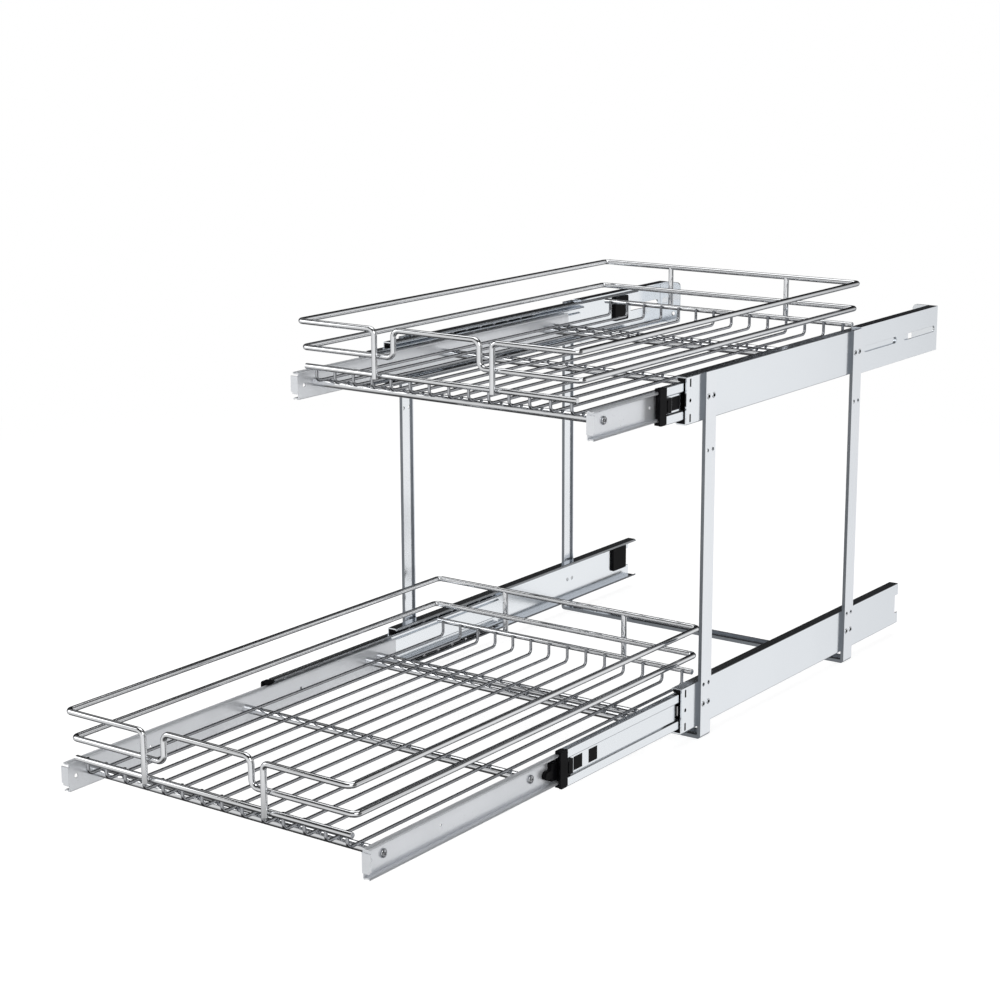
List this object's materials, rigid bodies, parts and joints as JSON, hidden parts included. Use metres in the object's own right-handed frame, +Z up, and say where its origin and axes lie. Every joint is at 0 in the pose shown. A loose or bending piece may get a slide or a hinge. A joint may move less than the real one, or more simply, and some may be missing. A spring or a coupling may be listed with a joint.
{
  "type": "pull out cabinet basket",
  "caption": "Two-tier pull-out cabinet organiser: chrome wire baskets on full-extension ball-bearing slides, carried by two steel hoops with adjustable rear brackets.",
  "frame": {"origin": "floor level, middle of the width and of the overall length in the rest pose", "axes": "+Z up, -Y is the way the baskets pull out, +X to the right seen from the front"},
  "size_m": [0.3626, 0.992, 0.3999],
  "materials": {
    "chrome_wire": "mirror",
    "plated_steel": "bright zinc, slightly blue",
    "screw_steel": "satin",
    "cage_steel": "satin",
    "ball_steel": "polished",
    "black_plastic": "moulded"
  },
  "bodies": {
    "frame": {"front_hoop": "plated_steel", "rear_hoop": "plated_steel", "lower_left_outer_rail": "plated_steel", "lower_right_outer_rail": "plated_steel", "upper_left_outer_rail": "plated_steel", "upper_right_outer_rail": "plated_steel", "left_rear_bracket": "plated_steel", "right_rear_bracket": "plated_steel", "rail_rivets": "screw_steel", "rail_front_guides": "black_plastic", "rear_stops": "black_plastic"},
    "lower_basket": {"lower_top_rail": "chrome_wire", "lower_mid_rail": "chrome_wire", "lower_bars": "chrome_wire", "lower_floor_wires": "chrome_wire", "lower_front_cross_rod": "chrome_wire", "lower_middle_cross_rod": "chrome_wire", "lower_rear_cross_rods": "chrome_wire", "lower_back_stays": "chrome_wire", "lower_left_inner_rail": "plated_steel", "lower_right_inner_rail": "plated_steel", "lower_rod_screws": "screw_steel", "lower_release_levers": "black_plastic"},
    "upper_basket": {"upper_top_rail": "chrome_wire", "upper_mid_rail": "chrome_wire", "upper_bars": "chrome_wire", "upper_floor_wires": "chrome_wire", "upper_front_cross_rod": "chrome_wire", "upper_middle_cross_rod": "chrome_wire", "upper_rear_cross_rods": "chrome_wire", "upper_back_stays": "chrome_wire", "upper_left_inner_rail": "plated_steel", "upper_right_inner_rail": "plated_steel", "upper_rod_screws": "screw_steel", "upper_release_levers": "black_plastic"},
    "lower_left_middle_member": {"lower_left_middle_rail": "plated_steel", "lower_left_front_retainer": "black_plastic"},
    "lower_left_outer_cage_set": {"lower_left_outer_cage": "cage_steel", "lower_left_outer_balls": "ball_steel"},
    "lower_left_inner_cage_set": {"lower_left_inner_cage": "cage_steel", "lower_left_inner_balls": "ball_steel"},
    "lower_right_middle_member": {"lower_right_middle_rail": "plated_steel", "lower_right_front_retainer": "black_plastic"},
    "lower_right_outer_cage_set": {"lower_right_outer_cage": "cage_steel", "lower_right_outer_balls": "ball_steel"},
    "lower_right_inner_cage_set": {"lower_right_inner_cage": "cage_steel", "lower_right_inner_balls": "ball_steel"},
    "upper_left_middle_member": {"upper_left_middle_rail": "plated_steel", "upper_left_front_retainer": "black_plastic"},
    "upper_left_outer_cage_set": {"upper_left_outer_cage": "cage_steel", "upper_left_outer_balls": "ball_steel"},
    "upper_left_inner_cage_set": {"upper_left_inner_cage": "cage_steel", "upper_left_inner_balls": "ball_steel"},
    "upper_right_middle_member": {"upper_right_middle_rail": "plated_steel", "upper_right_front_retainer": "black_plastic"},
    "upper_right_outer_cage_set": {"upper_right_outer_cage": "cage_steel", "upper_right_outer_balls": "ball_steel"},
    "upper_right_inner_cage_set": {"upper_right_inner_cage": "cage_steel", "upper_right_inner_balls": "ball_steel"}
  },
  "joints": [
    {"name": "lower_basket_slide", "type": "slide", "parent": "frame", "child": "lower_basket", "axis": [0, -1, 0], "range_m": [-0.457, 0]},
    {"name": "lower_left_middle_member_slide", "type": "slide", "parent": "frame", "child": "lower_left_middle_member", "axis": [0, -1, 0], "range_m": [-0.2285, 0]},
    {"name": "lower_left_outer_cage_set_slide", "type": "slide", "parent": "frame", "child": "lower_left_outer_cage_set", "axis": [0, -1, 0], "range_m": [-0.11425, 0]},
    {"name": "lower_left_inner_cage_set_slide", "type": "slide", "parent": "frame", "child": "lower_left_inner_cage_set", "axis": [0, -1, 0], "range_m": [-0.34275, 0]},
    {"name": "lower_right_middle_member_slide", "type": "slide", "parent": "frame", "child": "lower_right_middle_member", "axis": [0, -1, 0], "range_m": [-0.2285, 0]},
    {"name": "lower_right_outer_cage_set_slide", "type": "slide", "parent": "frame", "child": "lower_right_outer_cage_set", "axis": [0, -1, 0], "range_m": [-0.11425, 0]},
    {"name": "lower_right_inner_cage_set_slide", "type": "slide", "parent": "frame", "child": "lower_right_inner_cage_set", "axis": [0, -1, 0], "range_m": [-0.34275, 0]},
    {"name": "upper_basket_slide", "type": "slide", "parent": "frame", "child": "upper_basket", "axis": [0, -1, 0], "range_m": [-0.1428, 0.3142]},
    {"name": "upper_left_middle_member_slide", "type": "slide", "parent": "frame", "child": "upper_left_middle_member", "axis": [0, -1, 0], "range_m": [-0.0714, 0.1571]},
    {"name": "upper_left_outer_cage_set_slide", "type": "slide", "parent": "frame", "child": "upper_left_outer_cage_set", "axis": [0, -1, 0], "range_m": [-0.0357, 0.07855]},
    {"name": "upper_left_inner_cage_set_slide", "type": "slide", "parent": "frame", "child": "upper_left_inner_cage_set", "axis": [0, -1, 0], "range_m": [-0.1071, 0.23565]},
    {"name": "upper_right_middle_member_slide", "type": "slide", "parent": "frame", "child": "upper_right_middle_member", "axis": [0, -1, 0], "range_m": [-0.0714, 0.1571]},
    {"name": "upper_right_outer_cage_set_slide", "type": "slide", "parent": "frame", "child": "upper_right_outer_cage_set", "axis": [0, -1, 0], "range_m": [-0.0357, 0.07855]},
    {"name": "upper_right_inner_cage_set_slide", "type": "slide", "parent": "frame", "child": "upper_right_inner_cage_set", "axis": [0, -1, 0], "range_m": [-0.1071, 0.23565]}
  ],
  "couplings": [
    {"joint": "lower_left_middle_member_slide", "follows": "lower_basket_slide", "ratio": 0.5},
    {"joint": "lower_left_outer_cage_set_slide", "follows": "lower_basket_slide", "ratio": 0.25},
    {"joint": "lower_left_inner_cage_set_slide", "follows": "lower_basket_slide", "ratio": 0.75},
    {"joint": "lower_right_middle_member_slide", "follows": "lower_basket_slide", "ratio": 0.5},
    {"joint": "lower_right_outer_cage_set_slide", "follows": "lower_basket_slide", "ratio": 0.25},
    {"joint": "lower_right_inner_cage_set_slide", "follows": "lower_basket_slide", "ratio": 0.75},
    {"joint": "upper_left_middle_member_slide", "follows": "upper_basket_slide", "ratio": 0.5},
    {"joint": "upper_left_outer_cage_set_slide", "follows": "upper_basket_slide", "ratio": 0.25},
    {"joint": "upper_left_inner_cage_set_slide", "follows": "upper_basket_slide", "ratio": 0.75},
    {"joint": "upper_right_middle_member_slide", "follows": "upper_basket_slide", "ratio": 0.5},
    {"joint": "upper_right_outer_cage_set_slide", "follows": "upper_basket_slide", "ratio": 0.25},
    {"joint": "upper_right_inner_cage_set_slide", "follows": "upper_basket_slide", "ratio": 0.75}
  ]
}
